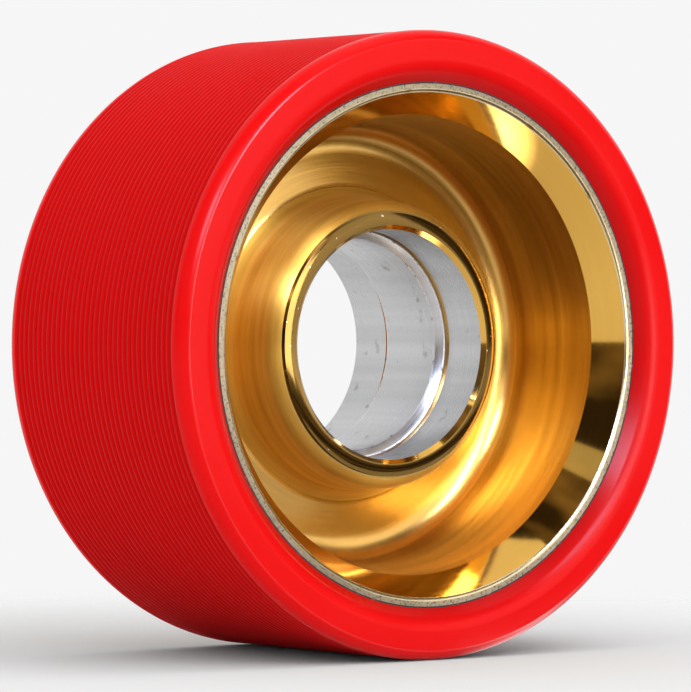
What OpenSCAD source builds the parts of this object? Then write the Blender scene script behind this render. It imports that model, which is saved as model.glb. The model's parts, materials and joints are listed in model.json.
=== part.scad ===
// Roller skate wheel: a red urethane tyre with a fine-grooved tread, cast around a gold-anodised
// aluminium hub that is dished at the front and bored for two bearings.
// The wheel turns about the Y axis. Its dished front faces -Y, and the origin is the tyre's centre.
// Each piece is a section, drawn as [radius, place along Y], that is turned about the axle line.

/* [Tyre] */
// Diameter over the lands of the tread
tyre_d = 59.4; // [57:0.1:64]
// Thickness of the tyre over the hub's barrel, its bonding coat included
tyre_t = 5.05; // [4.2:0.05:5.6]
// Width over the two side faces, before their proudest rings are softened
tyre_w = 29.5; // [28:0.1:33]
// Radius of the rounded shoulder beside the tread
shoulder_r = 1.65; // [1:0.05:2]
// Angle that the shoulder turns through before it meets the side face in a crisp edge
shoulder_sweep = 65; // [45:1:80]
// Radial width of the slope from the hub's lip up to the soft ring that stands proudest
slope_w = 1.4; // [1:0.05:1.8]
// Depth of the lip below that ring
lip_recess = 1.35; // [0.8:0.05:2.2]
// Height of that ring above the shoulder's crisp edge
crown_rise = 0.15; // [0.05:0.01:0.4]
// Radius that softens that ring
crown_round = 2; // [0.2:0.1:2.4]

/* [Tread] */
// Distance between neighbouring tread grooves
groove_pitch = 0.79; // [0.7:0.01:1.2]
// Radius of the round tool that cuts the grooves
groove_r = 0.3; // [0.24:0.01:0.34]
// Depth of the grooves
groove_depth = 0.2; // [0.1:0.01:0.24]

/* [Bond] */
// Thickness of the bonding coat between hub and tyre
bond_t = 0.15; // [0.1:0.05:0.3]
// Number of keying grooves around the hub's barrel
key_count = 3; // [1:1:4]
// Width of a keying groove
key_w = 3; // [1.5:0.1:4]
// Depth of a keying groove
key_depth = 1; // [0.5:0.1:1.4]

/* [Hub] */
// Width of the flat ring on each lip
lip_w = 0.7; // [0.5:0.05:1]
// Radius of the polished edge inside that ring
lip_round = 0.45; // [0.1:0.05:0.6]
// Thickness of the rim at the sharp line where the mouth's cone meets the dish wall
rim_t = 2.8; // [2.5:0.05:4]
// Depth of the cone, from the lip
cone_depth = 2.85; // [1.5:0.05:4]
// Depth of the front dish at its wall, from the lip
dish_depth = 15.05; // [13:0.05:16]
// Thickness of the web between the front and back dishes, at their walls
web_t = 3; // [2.4:0.1:4.5]
// Slope of the dish floors, which rise towards the boss
floor_slope = 12; // [4:1:14]
// Draft of the dish wall
wall_draft = 4; // [1:0.5:6]
// Radius of the fillet between dish floor and wall
wall_fillet = 2.4; // [1:0.1:3]

/* [Boss] */
// Radial width of the polished bead around each mouth
bead_w = 1.2; // [0.9:0.05:1.5]
// Height of the bead's inner edge above its outer edge
bead_h = 0.2; // [0.1:0.01:0.4]
// Width of the step from the bead out to the boss's shoulder
step_w = 0.2; // [0.1:0.05:0.5]
// Depth of that step below the bead's outer edge
step_depth = 0.25; // [0.1:0.05:0.6]
// Radial width of the boss's round shoulder, from that step out to the boss wall
boss_flare = 1; // [0.6:0.05:1.2]
// Slope at which the shoulder leaves the step
boss_slope = 30; // [20:1:45]
// Draft of the boss wall
boss_draft = 3; // [0:0.5:4]
// Radius of the fillet between dish floor and boss
boss_fillet = 0.8; // [0.4:0.1:1.2]

/* [Bore] */
// Distance between the outer edges of the two bearing seats
bore_len = 20; // [18.6:0.1:21]
// Distance of the bore's middle behind the tyre's middle
bore_offset = 3.15; // [2.5:0.05:3.5]
// Diameter of the bearing seats
seat_d = 22; // [21.6:0.1:22.2]
// Depth of each bearing seat
seat_depth = 5.5; // [4.8:0.1:6.4]
// Width of the relief groove at the foot of each seat
relief_w = 0.6; // [0.4:0.1:1]
// Depth of the relief groove
relief_depth = 0.25; // [0.1:0.05:0.4]
// Diameter of the passage between the seats
passage_d = 20.3; // [19:0.1:20.6]
// Chamfer at the ends of the passage
passage_chamfer = 0.7; // [0.3:0.05:0.8]
// Width of the chamfer at each mouth
mouth_chamfer = 0.4; // [0.2:0.05:0.5]

/* [Hidden] */

// Facets of a full turn, and steps of a rounded corner
$fn = 180;
corner_steps = 8;

tyre_r = tyre_d / 2;
crown_y = tyre_w / 2;
lip_y = crown_y - lip_recess;
hub_r = tyre_r - tyre_t;
bond_r = hub_r + bond_t;
crown_r = bond_r + slope_w;
lip_in_r = hub_r - lip_w;
cone_r = hub_r - rim_t;
seat_r = seat_d / 2;
passage_r = passage_d / 2;
relief_r = seat_r + relief_depth;

// The shoulder's arc ends in the crisp edge of the side face
edge_y = crown_y - crown_rise;
edge_r = tyre_r - shoulder_r * (1 - cos(shoulder_sweep));
tread_y = edge_y - shoulder_r * sin(shoulder_sweep);

// Whole grooves that fit between the shoulders, with half a land left at each end
groove_count = floor(2 * tread_y / groove_pitch);

// Keying grooves share the barrel's length evenly
key_step = 2 * lip_y / (key_count + 1);

// Places along the bore, at its front and back seats
front_seat_y = bore_offset - bore_len / 2;
back_seat_y = bore_offset + bore_len / 2;

// The back dish is what the front dish and the web leave of the barrel's length
back_depth = 2 * lip_y - dish_depth - web_t;

// The bead lies between the mouth's chamfer and a step just inside the boss's shoulder
bead_in_r = seat_r + mouth_chamfer;
bead_out_r = bead_in_r + bead_w;
boss_r = bead_out_r + step_w;

// The bead's crown is an arc that is level at its inner edge
crown_arc_r = (bead_w * bead_w + bead_h * bead_h) / (2 * bead_h);
crown_sweep = 2 * atan(bead_h / bead_w);

// The boss's shoulder is an arc from its slope at the step to the draft of the boss wall
boss_wall_r = boss_r + boss_flare;
boss_round = boss_flare / (cos(boss_draft) - sin(boss_slope));
boss_shoulder_h = boss_round * (cos(boss_slope) - sin(boss_draft));

// Points of the arc that rounds corner b of the path a, b, c with radius r
function rounded_corner(a, b, c, r) =
    let (
        to_a = (a - b) / norm(a - b),
        to_c = (c - b) / norm(c - b),
        half = acos(to_a * to_c) / 2,
        middle = b + (to_a + to_c) / norm(to_a + to_c) * r / sin(half),
        start = b + to_a * r / tan(half) - middle,
        turn = sign(to_a.x * to_c.y - to_a.y * to_c.x) * (2 * half - 180)
    )
    [for (i = [0 : corner_steps])
        let (angle = turn * i / corner_steps)
        middle + [
            start.x * cos(angle) - start.y * sin(angle),
            start.x * sin(angle) + start.y * cos(angle)
        ]
    ];

// Outline from corners [radius, y, rounding], with the rounded corners turned into arcs
function outline(corners) =
    let (count = len(corners))
    [for (i = [0 : count - 1])
        let (
            before = corners[(i + count - 1) % count],
            at = corners[i],
            after = corners[(i + 1) % count],
            places = [for (p = [before, at, after]) [p[0], p[1]]]
        )
        each (at[2] > 0 ? rounded_corner(places[0], places[1], places[2], at[2]) : [places[1]])
    ];

function backwards(list) = [for (i = [len(list) - 1 : -1 : 0]) list[i]];

// Solid of revolution about the wheel's axis from the section that is passed in
module turned() {
    rotate([-90, 0, 0])
        rotate_extrude()
            children();
}

// Crowned bead, from its outer edge to its inner edge at the given place along Y
function bead(top_y, inward) = [
    for (i = [0 : corner_steps])
        let (angle = crown_sweep * (1 - i / corner_steps))
        [
            bead_in_r + crown_arc_r * sin(angle),
            top_y + inward * crown_arc_r * (1 - cos(angle)),
            0
        ]
];

// Round shoulder of the boss, from the top of its wall up to the step beside the bead
function boss_shoulder(step_y, inward) = [
    for (i = [0 : corner_steps])
        let (angle = 90 - boss_draft - (90 - boss_draft - boss_slope) * i / corner_steps)
        [
            boss_r + boss_round * (sin(angle) - sin(boss_slope)),
            step_y + inward * boss_round * (cos(boss_slope) - cos(angle)),
            0
        ]
];

// One side of the hub, from its lip down the dish, over the boss and into the bearing seat.
// Inward is the direction along Y from that side towards the middle, 1 or -1.
function hub_side(lip, seat, depth, inward) =
    let (
        floor_y = lip + inward * depth,
        top_y = seat - inward * mouth_chamfer,
        step_y = top_y + inward * (bead_h + step_depth),
        wall_foot_r = cone_r - (depth - cone_depth) * tan(wall_draft),
        boss_wall_h = abs(floor_y - step_y) - boss_shoulder_h,
        boss_foot_r = boss_wall_r + boss_wall_h * tan(boss_draft),
        boss_foot_y = floor_y - inward * (wall_foot_r - boss_foot_r) * tan(floor_slope),
        relief_y = seat + inward * (seat_depth - relief_w),
        shoulder_y = seat + inward * seat_depth
    )
    concat(
        [
            [hub_r, lip, 0],
            [lip_in_r, lip, lip_round],
            [cone_r, lip + inward * cone_depth, 0],
            [wall_foot_r, floor_y, wall_fillet],
            [boss_foot_r, boss_foot_y, boss_fillet]
        ],
        boss_shoulder(step_y, inward),
        [[bead_out_r, step_y, 0]],
        bead(top_y, inward),
        [
            [seat_r, seat, 0],
            [seat_r, relief_y, 0],
            [relief_r, relief_y, 0],
            [relief_r, shoulder_y, 0],
            [passage_r + passage_chamfer, shoulder_y, 0],
            [passage_r, shoulder_y + inward * passage_chamfer, 0]
        ]
    );

// Rows of the keying grooves, drawn in by a coat of the given thickness and open outwards
module key_rows(coat, over) {
    for (i = [1 : key_count])
        translate([hub_r - key_depth + coat, i * key_step - lip_y - key_w / 2 + coat])
            square([key_depth - coat + over, key_w - 2 * coat]);
}

// Hub: one piece turned from aluminium bar, with a keyed barrel outside, a deep dish at the front,
// a shallow one at the back and a boss that holds a bearing at each end
module hub() {
    front = hub_side(-lip_y, front_seat_y, dish_depth, 1);
    back = hub_side(lip_y, back_seat_y, back_depth, -1);
    color("goldenrod")
        turned()
            difference() {
                polygon(outline(concat(front, backwards(back))));
                key_rows(0, key_depth);
            }
}

// Bonding coat: the thin layer of adhesive that lines the barrel and its keying grooves
module bond_coat() {
    color("dimgray")
        turned()
            difference() {
                union() {
                    translate([hub_r, -lip_y])
                        square([bond_t, 2 * lip_y]);
                    key_rows(0, bond_t / 2);
                }
                key_rows(bond_t, key_depth);
            }
}

// Half of the tyre's outline at one side, from the coat's edge at the lip to the start of the tread
function tyre_side(side) = concat(
    [
        [bond_r, side * lip_y, 0],
        [crown_r, side * crown_y, crown_round]
    ],
    [for (i = [0 : corner_steps])
        let (angle = shoulder_sweep * (1 - i / corner_steps))
        [tyre_r - shoulder_r * (1 - cos(angle)), side * (tread_y + shoulder_r * sin(angle)), 0]
    ]
);

// Tyre: urethane cast around the hub, with ribs that fill the keying grooves, and then turned
// outside to cut the fine round grooves of the tread
module tyre() {
    color("red")
        turned()
            difference() {
                union() {
                    polygon(outline(concat(tyre_side(-1), backwards(tyre_side(1)))));
                    key_rows(bond_t, key_depth);
                }
                for (i = [1 : groove_count])
                    translate([
                        tyre_r + groove_r - groove_depth,
                        (i - (groove_count + 1) / 2) * groove_pitch
                    ])
                        circle(groove_r, $fn = 32);
            }
}

hub();
bond_coat();
tyre();
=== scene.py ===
import json
import math

import bmesh
import bpy
from mathutils import Matrix, Vector, noise


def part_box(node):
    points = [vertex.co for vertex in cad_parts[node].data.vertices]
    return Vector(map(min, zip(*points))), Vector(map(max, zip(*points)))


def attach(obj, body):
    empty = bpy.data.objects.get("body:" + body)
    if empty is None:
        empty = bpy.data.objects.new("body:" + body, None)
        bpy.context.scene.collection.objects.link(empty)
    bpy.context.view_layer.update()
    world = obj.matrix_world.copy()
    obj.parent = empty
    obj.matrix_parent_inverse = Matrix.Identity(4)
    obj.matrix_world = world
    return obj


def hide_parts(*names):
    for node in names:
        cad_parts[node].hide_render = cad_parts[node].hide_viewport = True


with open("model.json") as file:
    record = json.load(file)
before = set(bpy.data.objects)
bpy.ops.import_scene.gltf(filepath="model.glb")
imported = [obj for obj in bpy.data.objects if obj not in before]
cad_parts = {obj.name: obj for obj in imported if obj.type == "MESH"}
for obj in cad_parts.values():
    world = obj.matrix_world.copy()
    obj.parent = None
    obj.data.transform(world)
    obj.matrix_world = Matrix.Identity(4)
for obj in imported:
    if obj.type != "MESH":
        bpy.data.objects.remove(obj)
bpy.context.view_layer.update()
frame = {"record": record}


# Hub. The real one is turned from a bar of aluminium: polished on its cones and beads, brushed
# with the lathe running in its dishes, and then anodised gold. The bearing bore and the
# faces of the lips are cut last, so they are bare metal.
mm = 0.001
hub_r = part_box("hub")[1].x
lip_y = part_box("bond_coat")[1].y
lip_w = 0.7 * mm
lip_round = 0.45 * mm
rim_t = 2.8 * mm
cone_depth = 2.85 * mm
dish_depth = 15.05 * mm
web_t = 3.0 * mm
floor_slope = math.radians(12)
wall_draft = math.radians(4)
wall_fillet = 2.4 * mm
bead_w = 1.2 * mm
bead_h = 0.2 * mm
step_w = 0.2 * mm
step_depth = 0.25 * mm
boss_flare = 1.0 * mm
boss_slope = math.radians(30)
boss_draft = math.radians(3)
boss_fillet = 2.0 * mm
front_seat, back_seat = frame["record"]["mounts"]
seat_r = front_seat["dims"]["r_mm"] * mm
seat_wall = front_seat["dims"]["length_mm"] * mm
front_seat_y = front_seat["pos_m"][1] - seat_wall / 2
back_seat_y = back_seat["pos_m"][1] + seat_wall / 2
bore_middle_y = (front_seat_y + back_seat_y) / 2
relief_w = 0.6 * mm
relief_depth = 0.25 * mm
passage_r = 10.15 * mm
passage_chamfer = 0.7 * mm
mouth_chamfer = 0.4 * mm
burr_round = 0.22 * mm
burr_steps = 3
key_count = 3
key_w = 3.0 * mm
key_depth = 1.0 * mm
around = 256
arc_steps = 12
merge_within = 1e-7

cone_r = hub_r - rim_t
bead_in_r = seat_r + mouth_chamfer
bead_out_r = bead_in_r + bead_w
boss_r = bead_out_r + step_w
crown_arc_r = (bead_w ** 2 + bead_h ** 2) / (2 * bead_h)
crown_sweep = 2 * math.atan(bead_h / bead_w)
boss_round = boss_flare / (math.cos(boss_draft) - math.sin(boss_slope))
boss_shoulder_h = boss_round * (math.cos(boss_slope) - math.sin(boss_draft))
relief_r = seat_r + relief_depth


def draw(section, places):
    """Adds a chain of edges through places given as (radius, y), and returns its vertices."""
    chain = [section.verts.new((radius, y, 0)) for radius, y in places]
    for start, end in zip(chain, chain[1:]):
        section.edges.new((start, end))
    return chain


def round_off(section, corner, radius, steps):
    """Rounds a corner of the section with an arc of the given radius."""
    arms = [edge.other_vert(corner).co - corner.co for edge in corner.link_edges]
    reach = radius / math.tan(arms[0].angle(arms[1]) / 2)
    bmesh.ops.bevel(
        section, geom=[corner], offset=reach, offset_type='OFFSET', segments=steps,
        profile=0.5, affect='VERTICES', material=-1,
    )


def turn(section, steps):
    """Spins the section once around the axle line into a closed skin."""
    bmesh.ops.remove_doubles(section, verts=section.verts, dist=merge_within)
    bmesh.ops.spin(
        section, geom=section.verts[:] + section.edges[:], cent=(0, 0, 0), axis=(0, 1, 0),
        angle=math.tau, steps=steps, use_merge=True,
    )
    bmesh.ops.remove_doubles(section, verts=section.verts, dist=merge_within)
    bmesh.ops.recalc_face_normals(section, faces=section.faces)


def finish_piece(section, name, node, materials, crease):
    """Turns the skin into a piece that stands for a node, smooth but for edges past the crease."""
    mesh = bpy.data.meshes.new(name)
    section.to_mesh(mesh)
    section.free()
    mesh.shade_smooth()
    mesh.set_sharp_from_angle(angle=math.radians(crease))
    for material in materials:
        mesh.materials.append(material)
    piece = bpy.data.objects.new(name, mesh)
    bpy.context.scene.collection.objects.link(piece)
    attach(piece, "root")
    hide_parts(node)


def hub_side(section, lip, seat, depth, inward):
    """Draws one side of the hub from its lip, down the dish and over the boss into the bore."""
    floor_y = lip + inward * depth
    top_y = seat - inward * mouth_chamfer
    bead_out_y = top_y + inward * bead_h
    step_y = bead_out_y + inward * step_depth
    wall_foot_r = cone_r - (depth - cone_depth) * math.tan(wall_draft)
    boss_wall_y = step_y + inward * boss_shoulder_h
    boss_foot_r = boss_r + boss_flare + abs(floor_y - boss_wall_y) * math.tan(boss_draft)
    boss_foot_y = floor_y - inward * (wall_foot_r - boss_foot_r) * math.tan(floor_slope)
    relief_y = seat + inward * seat_wall
    shoulder_y = relief_y + inward * relief_w
    dish = draw(section, [
        (hub_r, lip),
        (hub_r - lip_w, lip),
        (cone_r, lip + inward * cone_depth),
        (wall_foot_r, floor_y),
        (boss_foot_r, boss_foot_y),
        (boss_r + boss_flare, boss_wall_y),
    ])
    step = draw(section, [(boss_r, step_y), (bead_out_r, step_y), (bead_out_r, bead_out_y)])
    bore = draw(section, [
        (bead_in_r, top_y),
        (seat_r, seat),
        (seat_r, relief_y),
        (relief_r, relief_y),
        (relief_r, shoulder_y),
        (passage_r + passage_chamfer, shoulder_y),
        (passage_r, shoulder_y + inward * passage_chamfer),
    ])
    shoulder_middle = (
        boss_r - boss_round * math.sin(boss_slope),
        step_y + inward * boss_round * math.cos(boss_slope),
        0,
    )
    bead_middle = (bead_in_r, top_y + inward * crown_arc_r, 0)
    bmesh.ops.spin(
        section, geom=[dish[-1]], cent=shoulder_middle, axis=(0, 0, -inward),
        angle=math.pi / 2 - boss_draft - boss_slope, steps=arc_steps,
    )
    bmesh.ops.spin(
        section, geom=[step[-1]], cent=bead_middle, axis=(0, 0, -inward),
        angle=crown_sweep, steps=arc_steps,
    )
    round_off(section, dish[1], lip_round, steps=8)
    round_off(section, dish[3], wall_fillet, steps=16)
    round_off(section, dish[4], boss_fillet, steps=14)
    round_off(section, bore[5], burr_round, burr_steps)
    return dish[0], bore[6]


hub_section = bmesh.new()
back_depth = 2 * lip_y - dish_depth - web_t
front_lip, front_passage = hub_side(hub_section, -lip_y, front_seat_y, dish_depth, 1)
back_lip, back_passage = hub_side(hub_section, lip_y, back_seat_y, back_depth, -1)
hub_section.edges.new((front_passage, back_passage))
round_off(hub_section, front_passage, burr_round, burr_steps)
round_off(hub_section, back_passage, burr_round, burr_steps)
key_ys = [2 * lip_y * (i + 1) / (key_count + 1) - lip_y for i in range(key_count)]
barrel = [
    place
    for key_y in key_ys
    for place in (
        (hub_r, key_y - key_w / 2),
        (hub_r - key_depth, key_y - key_w / 2),
        (hub_r - key_depth, key_y + key_w / 2),
        (hub_r, key_y + key_w / 2),
    )
]
barrel_chain = draw(hub_section, barrel)
hub_section.edges.new((front_lip, barrel_chain[0]))
hub_section.edges.new((barrel_chain[-1], back_lip))
turn(hub_section, around)

finishes = (
    "brushed floor", "polished gold", "bare bore", "bare lip", "burnished edge", "turned boss",
    "turned wall", "bead painted dark", "burr with painted highlight",
)
bore_reach_r = relief_r + 0.01 * mm
relief_from_r = seat_r + 0.1 * mm
bead_reach_r = bead_out_r + step_w * 0.9
lip_face_y = lip_y - 0.001 * mm
lip_edge_y = lip_y - lip_round * 0.5
boss_side_r = 16 * mm
boss_facing = 0.45
wall_facing = -0.9
burr_facings = ((0.05, 0.69), (0.73, 0.995))


def hub_finish(face):
    """Name of the finish at a face, from its place and how far it faces away from the axle line."""
    middle = face.calc_center_median()
    radius = math.hypot(middle.x, middle.z)
    outward = (face.normal.x * middle.x + face.normal.z * middle.z) / radius
    in_bore = front_seat_y < middle.y < back_seat_y and radius < bore_reach_r
    if in_bore and radius > relief_from_r:
        return "brushed floor"
    if in_bore and any(low < -outward < high for low, high in burr_facings):
        return "burr with painted highlight"
    if in_bore:
        return "bare bore"
    if radius < bead_in_r:
        return "polished gold"
    if radius < bead_reach_r:
        return "bead painted dark"
    if abs(middle.y) > lip_face_y and radius > hub_r - lip_w:
        return "bare lip"
    if abs(middle.y) > lip_edge_y:
        return "burnished edge"
    if abs(middle.y) > lip_y - cone_depth:
        return "polished gold"
    if outward > boss_facing and radius < boss_side_r:
        return "turned boss"
    if outward < wall_facing and radius < hub_r - key_depth:
        return "turned wall"
    return "brushed floor"


for face in hub_section.faces:
    face.material_index = finishes.index(hub_finish(face))


def put(tree, kind, inputs=None, **settings):
    """Adds a node with its settings and its inputs, which are values or other nodes' outputs."""
    made = tree.nodes.new(kind)
    for name, value in settings.items():
        setattr(made, name, value)
    for name, value in (inputs or {}).items():
        if isinstance(value, bpy.types.NodeSocket):
            tree.links.new(value, made.inputs[name])
        else:
            made.inputs[name].default_value = value
    return made


def make_turning_marks():
    """Group: the fine rings that a lathe leaves, as a value from 0 to 1 that follows the wheel round."""
    group = bpy.data.node_groups.new("turning marks", 'ShaderNodeTree')
    group.interface.new_socket("Marks per metre", in_out='INPUT', socket_type='NodeSocketFloat')
    group.interface.new_socket("Drift", in_out='INPUT', socket_type='NodeSocketFloat')
    group.interface.new_socket("Marks", in_out='OUTPUT', socket_type='NodeSocketFloat')
    given = put(group, 'NodeGroupInput')
    place = put(group, 'ShaderNodeTexCoord')
    parts = put(group, 'ShaderNodeSeparateXYZ', {0: place.outputs['Object']})
    flat = put(group, 'ShaderNodeCombineXYZ', {'X': parts.outputs['X'], 'Z': parts.outputs['Z']})
    radius = put(group, 'ShaderNodeVectorMath', {0: flat.outputs[0]}, operation='LENGTH')
    heading = put(group, 'ShaderNodeVectorMath', {0: flat.outputs[0]}, operation='NORMALIZE')
    swing = put(
        group, 'ShaderNodeVectorMath', {0: heading.outputs[0], 'Scale': given.outputs['Drift']},
        operation='SCALE',
    )
    swing_parts = put(group, 'ShaderNodeSeparateXYZ', {0: swing.outputs[0]})
    across = put(
        group, 'ShaderNodeMath', {0: radius.outputs['Value'], 1: given.outputs['Marks per metre']},
        operation='MULTIPLY',
    )
    along = put(
        group, 'ShaderNodeMath', {0: parts.outputs['Y'], 1: given.outputs['Marks per metre']},
        operation='MULTIPLY',
    )
    spot = put(
        group, 'ShaderNodeCombineXYZ',
        {'X': across.outputs[0], 'Y': along.outputs[0], 'Z': swing_parts.outputs['X']},
    )
    rings = put(
        group, 'ShaderNodeTexNoise',
        {'Vector': spot.outputs[0], 'W': swing_parts.outputs['Z'], 'Scale': 1.0, 'Detail': 4.0,
         'Roughness': 0.65},
        noise_dimensions='4D',
    )
    put(group, 'NodeGroupOutput', {'Marks': rings.outputs['Fac']})
    return group


turning_marks = make_turning_marks()


def new_material(name):
    """An empty material and its node tree, ready for a shader and an output."""
    material = bpy.data.materials.new(name)
    material.use_nodes = True
    material.node_tree.nodes.clear()
    return material, material.node_tree


def gold_anodised(name, dyes, polish, texture, fan, coat):
    """Gold-dyed oxide over aluminium, from a mirror polish to a brushed finish with a fan of light."""
    material, tree = new_material(name)
    marks = put(
        tree, 'ShaderNodeGroup', {'Marks per metre': texture['marks'], 'Drift': texture['drift']},
        node_tree=turning_marks,
    )
    bands = put(
        tree, 'ShaderNodeGroup', {'Marks per metre': 900.0, 'Drift': 0.7}, node_tree=turning_marks,
    )
    streaks = put(
        tree, 'ShaderNodeMapRange',
        {'Value': bands.outputs['Marks'], 'From Min': 0.35, 'From Max': 0.65,
         'To Min': 0.5 - texture['streaks'], 'To Max': 0.5 + texture['streaks']},
    )
    dye = put(
        tree, 'ShaderNodeMix',
        {'Factor': streaks.outputs['Result'], 'A': dyes[0], 'B': dyes[1]}, data_type='RGBA',
    )
    place = put(tree, 'ShaderNodeTexCoord')
    specks = put(
        tree, 'ShaderNodeTexNoise', {'Vector': place.outputs['Object'], 'Scale': 2200.0, 'Detail': 3.0},
    )
    dusty = put(
        tree, 'ShaderNodeMapRange',
        {'Value': specks.outputs['Fac'], 'From Min': texture['clean'], 'From Max': texture['clean'] + 0.05},
    )
    tone = put(
        tree, 'ShaderNodeMix',
        {'Factor': dusty.outputs['Result'], 'A': dye.outputs['Result'], 'B': (0.88, 0.82, 0.66, 1)},
        data_type='RGBA',
    )
    rough = put(
        tree, 'ShaderNodeMapRange',
        {'Value': marks.outputs['Marks'], 'From Min': 0.3, 'From Max': 0.7,
         'To Min': polish[0], 'To Max': polish[1]},
    )
    waves = put(
        tree, 'ShaderNodeBump',
        {'Height': bands.outputs['Marks'], 'Strength': texture['bands'], 'Distance': 0.1 * mm},
    )
    relief = put(
        tree, 'ShaderNodeBump',
        {'Height': marks.outputs['Marks'], 'Strength': texture['bump'], 'Distance': 0.02 * mm,
         'Normal': waves.outputs[0]},
    )
    lathe_way = put(tree, 'ShaderNodeTangent', direction_type='RADIAL', axis='Y')
    skin = put(
        tree, 'ShaderNodeBsdfPrincipled',
        {'Base Color': tone.outputs['Result'], 'Metallic': 1.0, 'Roughness': rough.outputs['Result'],
         'Anisotropic': fan, 'Anisotropic Rotation': 0.25, 'Tangent': lathe_way.outputs[0],
         'Coat Weight': coat[0], 'Coat Roughness': coat[1], 'Coat IOR': 1.5, 'Normal': relief.outputs[0]},
    )
    put(tree, 'ShaderNodeOutputMaterial', {'Surface': skin.outputs[0]})
    return material


def bare_aluminium(name, shades, polish, texture):
    """Freshly turned aluminium with the cutter's rings, painted bands of sheen around it and a few stains.
    """
    material, tree = new_material(name)
    marks = put(
        tree, 'ShaderNodeGroup', {'Marks per metre': texture['marks'], 'Drift': texture['drift']},
        node_tree=turning_marks,
    )
    place = put(tree, 'ShaderNodeTexCoord')
    stains = put(
        tree, 'ShaderNodeTexNoise',
        {'Vector': place.outputs['Object'], 'Scale': texture['stains'], 'Detail': 5.0, 'Roughness': 0.6},
    )
    stained = put(
        tree, 'ShaderNodeMapRange',
        {'Value': stains.outputs['Fac'], 'From Min': texture['clean'], 'From Max': texture['clean'] + 0.1},
    )
    clean = put(
        tree, 'ShaderNodeMix',
        {'Factor': marks.outputs['Marks'], 'A': shades[0], 'B': shades[1]}, data_type='RGBA',
    )
    tone = put(
        tree, 'ShaderNodeMix',
        {'Factor': stained.outputs['Result'], 'A': clean.outputs['Result'], 'B': shades[2]},
        data_type='RGBA',
    )
    # Painted sheen: brightness that changes with the heading around the axle, in place of reflections.
    flat = put(
        tree, 'ShaderNodeVectorMath', {0: place.outputs['Object'], 1: (1, 0, 1)}, operation='MULTIPLY',
    )
    heading = put(tree, 'ShaderNodeVectorMath', {0: flat.outputs[0]}, operation='NORMALIZE')
    painted_sheen = put(
        tree, 'ShaderNodeTexNoise', {'Vector': heading.outputs[0], 'Scale': 5.0, 'Detail': 3.0},
    )
    painted_sheen_tone = put(
        tree, 'ShaderNodeMapRange',
        {'Value': painted_sheen.outputs['Fac'], 'From Min': 0.35, 'From Max': 0.65, 'To Min': 0.91, 'To Max': 1.07},
    )
    sheen_banded = put(
        tree, 'ShaderNodeVectorMath', {0: tone.outputs['Result'], 'Scale': painted_sheen_tone.outputs['Result']},
        operation='SCALE',
    )
    rough = put(
        tree, 'ShaderNodeMapRange',
        {'Value': marks.outputs['Marks'], 'From Min': 0.3, 'From Max': 0.7,
         'To Min': polish[0], 'To Max': polish[1]},
    )
    relief = put(
        tree, 'ShaderNodeBump',
        {'Height': marks.outputs['Marks'], 'Strength': texture['bump'], 'Distance': 0.02 * mm},
    )
    lathe_way = put(tree, 'ShaderNodeTangent', direction_type='RADIAL', axis='Y')
    skin = put(
        tree, 'ShaderNodeBsdfPrincipled',
        {'Base Color': sheen_banded.outputs[0], 'Metallic': 1.0, 'Roughness': rough.outputs['Result'],
         'Anisotropic': 0.5, 'Anisotropic Rotation': 0.25, 'Tangent': lathe_way.outputs[0],
         'Normal': relief.outputs[0]},
    )
    put(tree, 'ShaderNodeOutputMaterial', {'Surface': skin.outputs[0]})
    return material


gold = ((0.58, 0.30, 0.035, 1), (0.92, 0.55, 0.12, 1))
# Painted shade: a darker copy of the gold for the dish wall, which tones down its highlights.
wall_gold_painted_darker = ((0.42, 0.22, 0.018, 1), (0.72, 0.43, 0.08, 1))
# Painted shade: the bead's gold is far darker than the rest, in place of the dark it reflects.
bead_gold_painted_dark = ((0.14, 0.075, 0.011, 1), (0.28, 0.165, 0.04, 1))
brushed_floor = gold_anodised(
    "brushed floor", gold, (0.21, 0.27),
    {'marks': 9000.0, 'drift': 1.2, 'bump': 0.05, 'bands': 0.3, 'streaks': 0.15, 'clean': 0.78},
    fan=0.8, coat=(1.0, 0.2),
)
polished_gold = gold_anodised(
    "polished gold", gold, (0.05, 0.09),
    {'marks': 3000.0, 'drift': 3.0, 'bump': 0.012, 'bands': 0.0, 'streaks': 0.05, 'clean': 0.8},
    fan=0.0, coat=(0.3, 0.08),
)
turned_boss = gold_anodised(
    "turned boss", gold, (0.38, 0.44),
    {'marks': 9000.0, 'drift': 1.2, 'bump': 0.05, 'bands': 0.3, 'streaks': 0.3, 'clean': 0.78},
    fan=0.97, coat=(0.3, 0.2),
)
turned_wall = gold_anodised(
    "turned wall", wall_gold_painted_darker, (0.22, 0.27),
    {'marks': 9000.0, 'drift': 1.2, 'bump': 0.05, 'bands': 0.3, 'streaks': 0.35, 'clean': 0.78},
    fan=0.97, coat=(0.2, 0.2),
)
# The bead's darkness is painted shade; its light specks are dust.
bead_painted_dark = gold_anodised(
    "bead painted dark", bead_gold_painted_dark, (0.08, 0.14),
    {'marks': 4000.0, 'drift': 6.0, 'bump': 0.02, 'bands': 0.0, 'streaks': 0.2, 'clean': 0.70},
    fan=0.0, coat=(0.2, 0.08),
)
bare_bore = bare_aluminium(
    "bare bore", ((0.52, 0.52, 0.525, 1), (0.64, 0.64, 0.645, 1), (0.33, 0.32, 0.31, 1)),
    (0.24, 0.34), {'marks': 4200.0, 'drift': 1.4, 'bump': 0.2, 'stains': 520.0, 'clean': 0.63},
)
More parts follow.
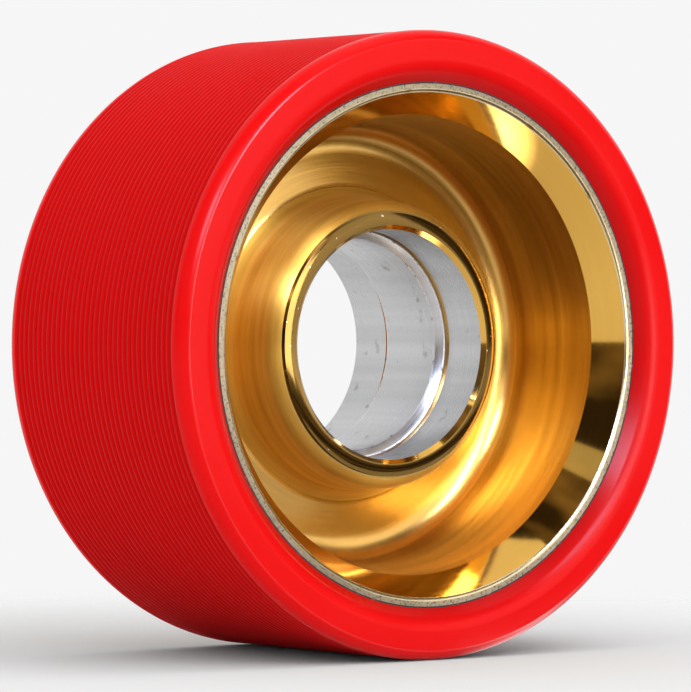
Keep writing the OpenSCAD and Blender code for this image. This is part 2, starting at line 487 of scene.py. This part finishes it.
# Painted highlight: the burr's rounded edges get a near-white colour in place of thin highlights.
burr_painted_highlight = bare_aluminium(
    "burr with painted highlight", ((0.86, 0.86, 0.87, 1), (0.95, 0.95, 0.95, 1), (0.30, 0.29, 0.28, 1)),
    (0.35, 0.45), {'marks': 5200.0, 'drift': 8.0, 'bump': 0.5, 'stains': 1400.0, 'clean': 0.55},
)
bare_lip = bare_aluminium(
    "bare lip", ((0.34, 0.27, 0.17, 1), (0.60, 0.51, 0.36, 1), (0.19, 0.15, 0.10, 1)),
    (0.30, 0.45), {'marks': 5200.0, 'drift': 60.0, 'bump': 0.4, 'stains': 3800.0, 'clean': 0.52},
)
burnished_edge = bare_aluminium(
    "burnished edge", ((0.66, 0.53, 0.30, 1), (0.80, 0.68, 0.45, 1), (0.42, 0.30, 0.12, 1)),
    (0.16, 0.26), {'marks': 5200.0, 'drift': 5.0, 'bump': 0.2, 'stains': 700.0, 'clean': 0.58},
)
finish_piece(
    hub_section, "hub_turned", "hub",
    [brushed_floor, polished_gold, bare_bore, bare_lip, burnished_edge, turned_boss, turned_wall,
     bead_painted_dark, burr_painted_highlight],
    crease=25,
)


# Bonding coat. A thin film of dark adhesive, brushed onto the hub's barrel and its keying grooves
# before the tyre is cast, and seen only as a fine uneven line around each lip.
bond_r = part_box("bond_coat")[1].x
bond_t = bond_r - hub_r
bond_section = bmesh.new()
inner_face = [(hub_r, -lip_y), *barrel, (hub_r, lip_y)]
outer_face = [(bond_r, -lip_y)]
for key_y in key_ys:
    outer_face += [
        (bond_r, key_y - key_w / 2 + bond_t),
        (bond_r - key_depth, key_y - key_w / 2 + bond_t),
        (bond_r - key_depth, key_y + key_w / 2 - bond_t),
        (bond_r, key_y + key_w / 2 - bond_t),
    ]
outer_face += [(bond_r, lip_y)]
bond_chain = draw(bond_section, inner_face + outer_face[::-1])
bond_section.edges.new((bond_chain[-1], bond_chain[0]))
turn(bond_section, around)

adhesive, adhesive_tree = new_material("dark adhesive")
adhesive_place = put(adhesive_tree, 'ShaderNodeTexCoord')
adhesive_specks = put(
    adhesive_tree, 'ShaderNodeTexNoise',
    {'Vector': adhesive_place.outputs['Object'], 'Scale': 1500.0, 'Detail': 5.0, 'Roughness': 0.7},
)
adhesive_broken = put(
    adhesive_tree, 'ShaderNodeMapRange',
    {'Value': adhesive_specks.outputs['Fac'], 'From Min': 0.56, 'From Max': 0.72},
)
adhesive_tone = put(
    adhesive_tree, 'ShaderNodeMix',
    {'Factor': adhesive_broken.outputs['Result'], 'A': (0.010, 0.003, 0.006, 1),
     'B': (0.30, 0.12, 0.13, 1)},
    data_type='RGBA',
)
adhesive_skin = put(
    adhesive_tree, 'ShaderNodeBsdfPrincipled',
    {'Base Color': adhesive_tone.outputs['Result'], 'Roughness': 0.55},
)
put(adhesive_tree, 'ShaderNodeOutputMaterial', {'Surface': adhesive_skin.outputs[0]})
finish_piece(bond_section, "bond_coat_line", "bond_coat", [adhesive], crease=25)


# Tyre. Red urethane, cast around the keyed hub and then faced and grooved on the lathe: each side
# has a soft proud ring, a crisp edge and a round shoulder, and the tread is cut in fine round ribs.
tyre_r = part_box("tyre")[1].x
tyre_w = 29.5 * mm
crown_y = tyre_w / 2
slope_w = 1.4 * mm
crown_rise = 0.15 * mm
crown_round = 2.0 * mm
edge_round = 0.15 * mm
shoulder_r = 1.65 * mm
shoulder_sweep = math.radians(65)
groove_pitch = 0.79 * mm
groove_depth = 0.2 * mm
rib_round = groove_pitch * 0.16
rib_wander = 0.035 * mm
wander_around = 9
wander_across = 0.35
edge_y = crown_y - crown_rise
tread_y = edge_y - shoulder_r * math.sin(shoulder_sweep)
edge_r = tyre_r - shoulder_r * (1 - math.cos(shoulder_sweep))
rib_count = int(2 * tread_y / groove_pitch)
rib_end_y = rib_count * groove_pitch / 2
tread_from_r = tyre_r - 2 * groove_depth


def tyre_side(section, side):
    """Draws one side of the tyre from the bonding coat to the end of the tread."""
    face = draw(section, [
        (bond_r, side * lip_y),
        (bond_r + slope_w, side * crown_y),
        (edge_r, side * edge_y),
    ])
    bmesh.ops.spin(
        section, geom=[face[-1]], cent=(tyre_r - shoulder_r, side * tread_y, 0), axis=(0, 0, -side),
        angle=shoulder_sweep, steps=arc_steps,
    )
    round_off(section, face[1], crown_round, steps=14)
    round_off(section, face[2], edge_round, steps=3)


tyre_section = bmesh.new()
tyre_side(tyre_section, -1)
tyre_side(tyre_section, 1)
draw(tyre_section, outer_face)
draw(tyre_section, [(tyre_r, -tread_y), (tyre_r, -rib_end_y)])
draw(tyre_section, [(tyre_r, rib_end_y), (tyre_r, tread_y)])
tread = draw(tyre_section, [(tyre_r, -rib_end_y), (tyre_r, rib_end_y)])
ribs = bmesh.ops.subdivide_edges(tyre_section, edges=tread[0].link_edges, cuts=2 * rib_count - 1)
rib_corners = [made for made in ribs['geom_inner'] if isinstance(made, bmesh.types.BMVert)]
for corner in rib_corners:
    from_end = (corner.co.y + rib_end_y) / (groove_pitch / 2)
    if round(from_end) % 2 == 1:
        corner.co.x -= groove_depth
bmesh.ops.bevel(
    tyre_section, geom=rib_corners, offset=rib_round, offset_type='OFFSET', segments=2,
    profile=0.5, affect='VERTICES', material=-1,
)
turn(tyre_section, around)
for corner in tyre_section.verts:
    radius = math.hypot(corner.co.x, corner.co.z)
    if radius > tread_from_r and abs(corner.co.y) < rib_end_y:
        heading = Vector((corner.co.x, 0, corner.co.z)) / radius
        spot = heading * wander_around + Vector((0, corner.co.y / groove_pitch * wander_across, 0))
        corner.co.y += rib_wander * noise.noise(spot)


def red_urethane(name, polish, gloss, grain_bump, painted_shade_band):
    """Cast red urethane, clouded a little, with a fine grain, with painted shade that darkens it over a
    band of radii, and duller where a reflection shows it or its light falls."""
    material, tree = new_material(name)
    place = put(tree, 'ShaderNodeTexCoord')
    cloud = put(
        tree, 'ShaderNodeTexNoise', {'Vector': place.outputs['Object'], 'Scale': 90.0, 'Detail': 4.0},
    )
    grain = put(
        tree, 'ShaderNodeTexNoise', {'Vector': place.outputs['Object'], 'Scale': 2400.0, 'Detail': 2.0},
    )
    tone = put(
        tree, 'ShaderNodeMix',
        {'Factor': cloud.outputs['Fac'], 'A': (0.70, 0.0008, 0.0015, 1), 'B': (0.76, 0.0012, 0.002, 1)},
        data_type='RGBA',
    )
    rough = put(
        tree, 'ShaderNodeMapRange',
        {'Value': cloud.outputs['Fac'], 'From Min': 0.3, 'From Max': 0.7, 'To Min': polish[0],
         'To Max': polish[1]},
    )
    relief = put(
        tree, 'ShaderNodeBump',
        {'Height': grain.outputs['Fac'], 'Strength': grain_bump, 'Distance': 0.02 * mm},
    )
    flat = put(
        tree, 'ShaderNodeVectorMath', {0: place.outputs['Object'], 1: (1, 0, 1)}, operation='MULTIPLY',
    )
    radius = put(tree, 'ShaderNodeVectorMath', {0: flat.outputs[0]}, operation='LENGTH')
    # Painted shade: the colour is scaled down towards the inner radius of painted_shade_band.
    shade = put(
        tree, 'ShaderNodeMapRange',
        {'Value': radius.outputs['Value'], 'From Min': painted_shade_band[0], 'From Max': painted_shade_band[1], 'To Min': painted_shade_band[2],
         'To Max': 1.0},
    )
    shaded = put(
        tree, 'ShaderNodeVectorMath', {0: tone.outputs['Result'], 'Scale': shade.outputs['Result']},
        operation='SCALE',
    )
    ray = put(tree, 'ShaderNodeLightPath')
    thrown = put(
        tree, 'ShaderNodeMath',
        {0: ray.outputs['Is Diffuse Ray'], 1: ray.outputs['Is Glossy Ray']}, operation='MAXIMUM',
    )
    cast_light = put(
        tree, 'ShaderNodeMix',
        {'Factor': thrown.outputs[0], 'A': shaded.outputs[0], 'B': (0.20, 0.12, 0.11, 1)},
        data_type='RGBA',
    )
    skin = put(
        tree, 'ShaderNodeBsdfPrincipled',
        {'Base Color': cast_light.outputs['Result'], 'Roughness': rough.outputs['Result'],
         'Specular IOR Level': gloss, 'Normal': relief.outputs[0]},
    )
    put(tree, 'ShaderNodeOutputMaterial', {'Surface': skin.outputs[0]})
    return material


# Painted shade darkens the side's slope towards the bonding coat and the lip.
cast_side = red_urethane(
    "cast side", polish=(0.20, 0.28), gloss=0.12, grain_bump=0.03,
    painted_shade_band=(bond_r, bond_r + slope_w + 0.2 * mm, 0.62),
)
crisp_edge = red_urethane(
    "crisp edge", polish=(0.18, 0.24), gloss=0.4, grain_bump=0.0, painted_shade_band=(bond_r, edge_r, 1.0),
)
# Painted shade darkens the tread in its grooves.
cut_tread = red_urethane(
    "cut tread", polish=(0.36, 0.46), gloss=0.04, grain_bump=0.05,
    painted_shade_band=(tyre_r - groove_depth, tyre_r, 0.6),
)
tyre_finishes = [cast_side, cut_tread, crisp_edge]
for face in tyre_section.faces:
    middle = face.calc_center_median()
    radius = math.hypot(middle.x, middle.z)
    on_tread = radius > tread_from_r and abs(middle.y) < rib_end_y
    on_edge = abs(abs(middle.y) - edge_y) < edge_round * 0.5 and radius > edge_r - edge_round
    face_finish = cut_tread if on_tread else crisp_edge if on_edge else cast_side
    face.material_index = tyre_finishes.index(face_finish)
finish_piece(tyre_section, "tyre_cast", "tyre", tyre_finishes, crease=40)


# Table. A pale matt sheet of paper that the wheel stands on and throws its shadow on. It fades into
# the plain background away from the wheel, so that none of its edges shows.
def add_prop(section, name, material):
    """Makes an object of the studio, which is no part of the wheel, from a finished section."""
    mesh = bpy.data.meshes.new(name)
    section.to_mesh(mesh)
    section.free()
    mesh.materials.append(material)
    prop = bpy.data.objects.new(name, mesh)
    bpy.context.scene.collection.objects.link(prop)
    return prop


floor_r = 0.9
floor_section = bmesh.new()
bmesh.ops.create_circle(floor_section, cap_ends=True, segments=96, radius=floor_r)
bmesh.ops.translate(floor_section, verts=floor_section.verts, vec=(0, 0, -tyre_r))
paper, paper_tree = new_material("pale paper")
paper_place = put(paper_tree, 'ShaderNodeTexCoord')
paper_reach = put(
    paper_tree, 'ShaderNodeVectorMath', {0: paper_place.outputs['Object']}, operation='LENGTH',
)
paper_fade = put(
    paper_tree, 'ShaderNodeMapRange',
    {'Value': paper_reach.outputs['Value'], 'From Min': 0.04, 'From Max': 0.12, 'To Min': 1.0,
     'To Max': 0.0},
    interpolation_type='SMOOTHERSTEP',
)
paper_skin = put(
    paper_tree, 'ShaderNodeBsdfPrincipled',
    {'Base Color': (0.73, 0.73, 0.73, 1), 'Roughness': 0.9, 'Specular IOR Level': 0.0,
     'Alpha': paper_fade.outputs['Result']},
)
put(paper_tree, 'ShaderNodeOutputMaterial', {'Surface': paper_skin.outputs[0]})
floor = add_prop(floor_section, "floor", paper)


# Background. Plain near-white behind the wheel, which polished metal shows too, and a softer
# level of the same light all around.
world = bpy.data.worlds.new("studio")
bpy.context.scene.world = world
world.use_nodes = True
sky = world.node_tree
sky.nodes.clear()
sky_ray = put(sky, 'ShaderNodeLightPath')
sky_seen = put(
    sky, 'ShaderNodeMath',
    {0: sky_ray.outputs['Is Camera Ray'], 1: sky_ray.outputs['Is Glossy Ray']}, operation='MAXIMUM',
)
sky_shown = put(
    sky, 'ShaderNodeMath',
    {0: sky_seen.outputs[0], 1: sky_ray.outputs['Is Transmission Ray']}, operation='MAXIMUM',
)
sky_plain = put(sky, 'ShaderNodeBackground', {'Color': (0.922, 0.922, 0.922, 1), 'Strength': 1.0})
sky_light = put(sky, 'ShaderNodeBackground', {'Color': (1, 1, 1, 1), 'Strength': 0.86})
sky_mix = put(
    sky, 'ShaderNodeMixShader',
    {0: sky_shown.outputs[0], 1: sky_light.outputs[0], 2: sky_plain.outputs[0]},
)
put(sky, 'ShaderNodeOutputWorld', {'Surface': sky_mix.outputs[0]})


# Lamps. Soft boxes and cards stand in front, at the right, at the left and overhead. The fills light
# only matt surfaces. The two lamps, the strip, the dark curtain, the flag on the table and the glint at
# the wheel's foot show only in shiny ones, which a real studio could not do.
def direction(azimuth, elevation):
    """The way from the wheel to a place at an azimuth and elevation in degrees; 0, 0 is its front."""
    turn_angle = math.radians(azimuth)
    lift = math.radians(elevation)
    return Vector((
        math.sin(turn_angle) * math.cos(lift), -math.cos(turn_angle) * math.cos(lift), math.sin(lift),
    ))


def soft_box(name, azimuth, elevation, distance, size, glow, colour=(1, 1, 1)):
    """A rectangular lamp, unseen by the camera, that faces the wheel; a glow of 1 looks white."""
    lamp = bpy.data.lights.new(name, 'AREA')
    lamp.color = colour
    lamp.shape = 'RECTANGLE'
    lamp.size, lamp.size_y = size
    lamp.energy = glow * math.pi * lamp.size * lamp.size_y
    box = bpy.data.objects.new(name, lamp)
    box.location = direction(azimuth, elevation) * distance
    box.rotation_euler = (-box.location).to_track_quat('-Z', 'Y').to_euler()
    box.visible_camera = False
    bpy.context.scene.collection.objects.link(box)
    return box


soft_box("front soft box", -11, 28, 0.9, (0.86, 0.60), 1.3)
daylight = (0.85, 1.0, 1.4)
front_lamp = soft_box("front lamp", 2, 33, 0.85, (0.22, 0.40), 9.0, daylight)
front_lamp.visible_diffuse = False
key_lamp = soft_box("key lamp", -35, 30, 0.9, (0.24, 0.24), 19.0, daylight)
key_lamp.visible_diffuse = False
soft_box("overhead soft box", 43, 70, 0.8, (0.40, 0.40), 1.0)
right_strip = soft_box("right strip", 8, 6, 0.9, (0.30, 0.40), 6.0)
right_strip.visible_diffuse = False
soft_box("right card", 31, 14, 0.9, (0.36, 0.60), 1.3)
soft_box("left card", -62, 44, 0.9, (0.34, 0.18), 0.5)
front_fill = soft_box("front fill", -5, 30, 0.95, (0.8, 0.8), 0.8)
front_fill.visible_glossy = False
left_fill = soft_box("left fill", -78, 16, 0.9, (0.8, 0.8), 0.35)
left_fill.visible_glossy = False
top_fill = soft_box("top fill", 43, 70, 0.8, (0.40, 0.40), 1.6)
top_fill.visible_glossy = False


def reflected_only(prop):
    """Hides an object of the studio from all but the reflections in shiny surfaces."""
    prop.visible_camera = False
    prop.visible_diffuse = False
    prop.visible_transmission = False
    prop.visible_shadow = False


def dark_cloth(name, lay, scale, detail, folds, tones):
    """Warm dark cloth with streaks along its lay, as bright as the tones say where it is reflected."""
    material, tree = new_material(name)
    place = put(tree, 'ShaderNodeTexCoord')
    laid = put(tree, 'ShaderNodeMapping', {'Vector': place.outputs['Object'], 'Scale': lay})
    streaks = put(
        tree, 'ShaderNodeTexNoise', {'Vector': laid.outputs[0], 'Scale': scale, 'Detail': detail},
    )
    tone = put(
        tree, 'ShaderNodeMapRange',
        {'Value': streaks.outputs['Fac'], 'From Min': folds[0], 'From Max': folds[1],
         'To Min': tones[0], 'To Max': tones[1]},
    )
    skin = put(
        tree, 'ShaderNodeEmission',
        {'Color': (1.0, 0.74, 0.48, 1), 'Strength': tone.outputs['Result']},
    )
    put(tree, 'ShaderNodeOutputMaterial', {'Surface': skin.outputs[0]})
    return material


curtain_r = 1.6
curtain_from = math.radians(-117)
curtain_to = math.radians(83)
curtain_section = bmesh.new()
curtain_foot = curtain_section.verts.new((0, -curtain_r, -tyre_r))
bmesh.ops.spin(
    curtain_section, geom=[curtain_foot], cent=(0, 0, -tyre_r), axis=(-1, 0, 0),
    angle=math.pi / 2, steps=24,
)
bmesh.ops.rotate(
    curtain_section, verts=curtain_section.verts, cent=(0, 0, 0),
    matrix=Matrix.Rotation(curtain_from, 3, 'Z'),
)
bmesh.ops.spin(
    curtain_section, geom=curtain_section.verts[:] + curtain_section.edges[:], cent=(0, 0, 0),
    axis=(0, 0, 1), angle=curtain_to - curtain_from, steps=64,
)
cloth = dark_cloth(
    "dark cloth", lay=(1, 1, 0.35), scale=2.6, detail=5.0, folds=(0.42, 0.68), tones=(0.03, 0.35),
)
curtain = add_prop(curtain_section, "curtain", cloth)
reflected_only(curtain)

# Flag. A patch on the table that glows dimly, seen only in shiny surfaces: a painted dark reflection in the
# gold.
flag_half = 0.1
flag_middle = (0.055, -0.142, -tyre_r + 0.1 * mm)
flag_lean = Matrix.Identity(4)
flag_lean[0][1] = 0.6
flag_section = bmesh.new()
bmesh.ops.create_grid(flag_section, x_segments=1, y_segments=1, size=flag_half)
bmesh.ops.transform(
    flag_section, verts=flag_section.verts, matrix=Matrix.Translation(flag_middle) @ flag_lean,
)
painted_dark_reflection = dark_cloth(
    "painted dark reflection", lay=(0.25, 1, 1), scale=60.0, detail=6.0, folds=(0.46, 0.66), tones=(0.04, 0.6),
)
flag = add_prop(flag_section, "flag", painted_dark_reflection)
reflected_only(flag)

# Glint. A patch on the table that glows, seen only in shiny surfaces: a painted highlight on the hub's
# cone.
glint_middle = (16 * mm, -16 * mm, -tyre_r + 0.2 * mm)
glint_size = (14 * mm, 7 * mm, 1)
glint_section = bmesh.new()
bmesh.ops.create_grid(glint_section, x_segments=1, y_segments=1, size=1.0)
bmesh.ops.transform(
    glint_section, verts=glint_section.verts,
    matrix=Matrix.Translation(glint_middle) @ Matrix.Diagonal((*glint_size, 1)),
)
painted_glint, painted_glint_tree = new_material("painted glint")
painted_glint_place = put(painted_glint_tree, 'ShaderNodeTexCoord')
painted_glint_spot = put(
    painted_glint_tree, 'ShaderNodeMapping',
    {'Vector': painted_glint_place.outputs['Object'], 'Location': glint_middle, 'Scale': glint_size},
    vector_type='TEXTURE',
)
painted_glint_fade = put(
    painted_glint_tree, 'ShaderNodeTexGradient', {'Vector': painted_glint_spot.outputs[0]},
    gradient_type='SPHERICAL',
)
painted_glint_clear = put(painted_glint_tree, 'ShaderNodeBsdfTransparent')
painted_glint_glow = put(painted_glint_tree, 'ShaderNodeEmission', {'Strength': 6.0})
painted_glint_skin = put(
    painted_glint_tree, 'ShaderNodeMixShader',
    {0: painted_glint_fade.outputs['Fac'], 1: painted_glint_clear.outputs[0], 2: painted_glint_glow.outputs[0]},
)
put(painted_glint_tree, 'ShaderNodeOutputMaterial', {'Surface': painted_glint_skin.outputs[0]})
glint = add_prop(glint_section, "glint", painted_glint)
reflected_only(glint)


# Camera. A long lens, almost level with the axle, looking at the dished front from its left, as the
# photograph does. Its place and length come from a fit to the wheel's round edges.
photo_w, photo_h = 691, 692
focal_px = 4705
sensor = 36.0
view_azimuth = math.radians(-36.83)
view_elevation = math.radians(0.56)
view_distance = 456.8 * mm
aim_right = 1.72 * mm
aim_up = -0.22 * mm
back = Vector((
    math.sin(view_azimuth) * math.cos(view_elevation),
    -math.cos(view_azimuth) * math.cos(view_elevation),
    math.sin(view_elevation),
))
right = Vector((math.cos(view_azimuth), math.sin(view_azimuth), 0))
up = back.cross(right)
lens = bpy.data.cameras.new("camera")
lens.sensor_width = sensor
lens.lens = focal_px * sensor / max(photo_w, photo_h)
lens.clip_start = 0.01
camera = bpy.data.objects.new("camera", lens)
eye = Vector((0, bore_middle_y, 0)) + back * view_distance + right * aim_right + up * aim_up
camera.matrix_world = Matrix.Translation(eye) @ Matrix((right, up, back)).transposed().to_4x4()
bpy.context.scene.collection.objects.link(camera)
bpy.context.scene.camera = camera
bpy.context.scene.view_settings.view_transform = 'Standard'
